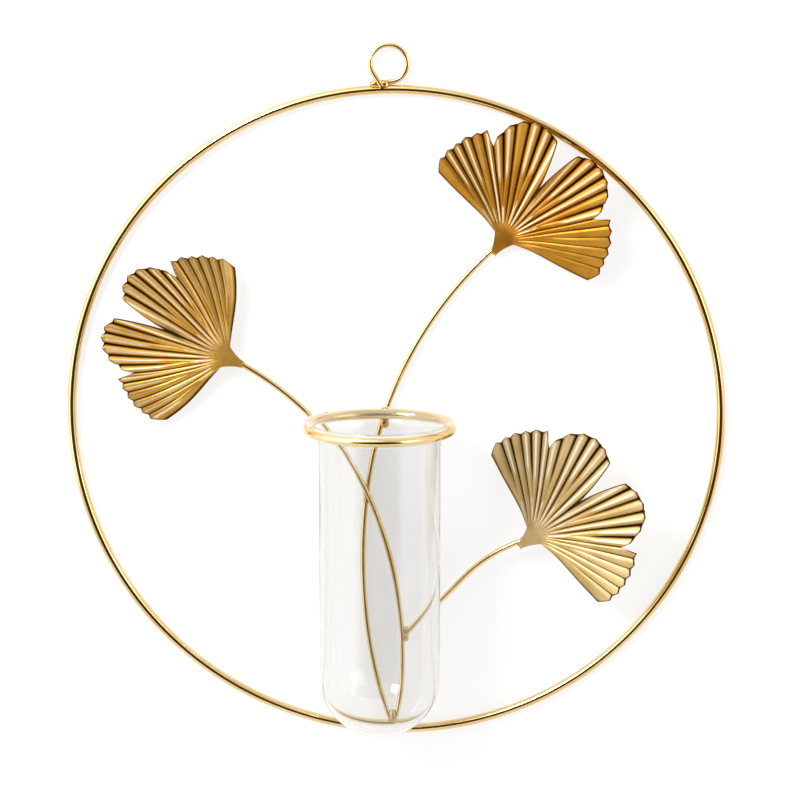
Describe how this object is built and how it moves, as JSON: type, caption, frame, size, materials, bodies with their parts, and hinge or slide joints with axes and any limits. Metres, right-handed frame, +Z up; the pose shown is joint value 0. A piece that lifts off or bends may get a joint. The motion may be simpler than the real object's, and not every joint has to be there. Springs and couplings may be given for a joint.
{
  "type": "hanging wall vase",
  "caption": "Round wire hoop wall hanging with pleated ginkgo leaves on wire stems and a clear round-bottomed glass tube vase hung in a wire holder ring.",
  "frame": {"origin": "centre of the hanging eye at the top, where the wall's nail goes through", "axes": "+Z up, +X to the right seen from the room, -Y to the room and +Y to the wall"},
  "size_m": [0.3, 0.0713, 0.3187],
  "materials": {
    "gold_wire": "gloss",
    "gold_leaf": "satin",
    "gold_weld": "gloss",
    "clear_glass": "gloss"
  },
  "bodies": {
    "frame": {"hoop": "gold_wire", "hanger_eye": "gold_wire", "holder_ring": "gold_wire", "stem_left": "gold_wire", "stem_top": "gold_wire", "stem_right": "gold_wire", "leaf_left": "gold_leaf", "leaf_top": "gold_leaf", "leaf_right": "gold_leaf", "leaf_left_weld": "gold_weld", "leaf_top_weld": "gold_weld", "leaf_right_weld": "gold_weld", "hanger_weld": "gold_weld", "root_weld": "gold_weld", "cross_weld": "gold_weld", "branch_weld": "gold_weld", "holder_weld": "gold_weld"},
    "glass": {"glass_tube": "clear_glass"}
  },
  "joints": [
    {"name": "glass_lift", "type": "slide", "parent": "frame", "child": "glass", "axis": [0, 0, 1], "range_m": [0, 0.135]}
  ]
}
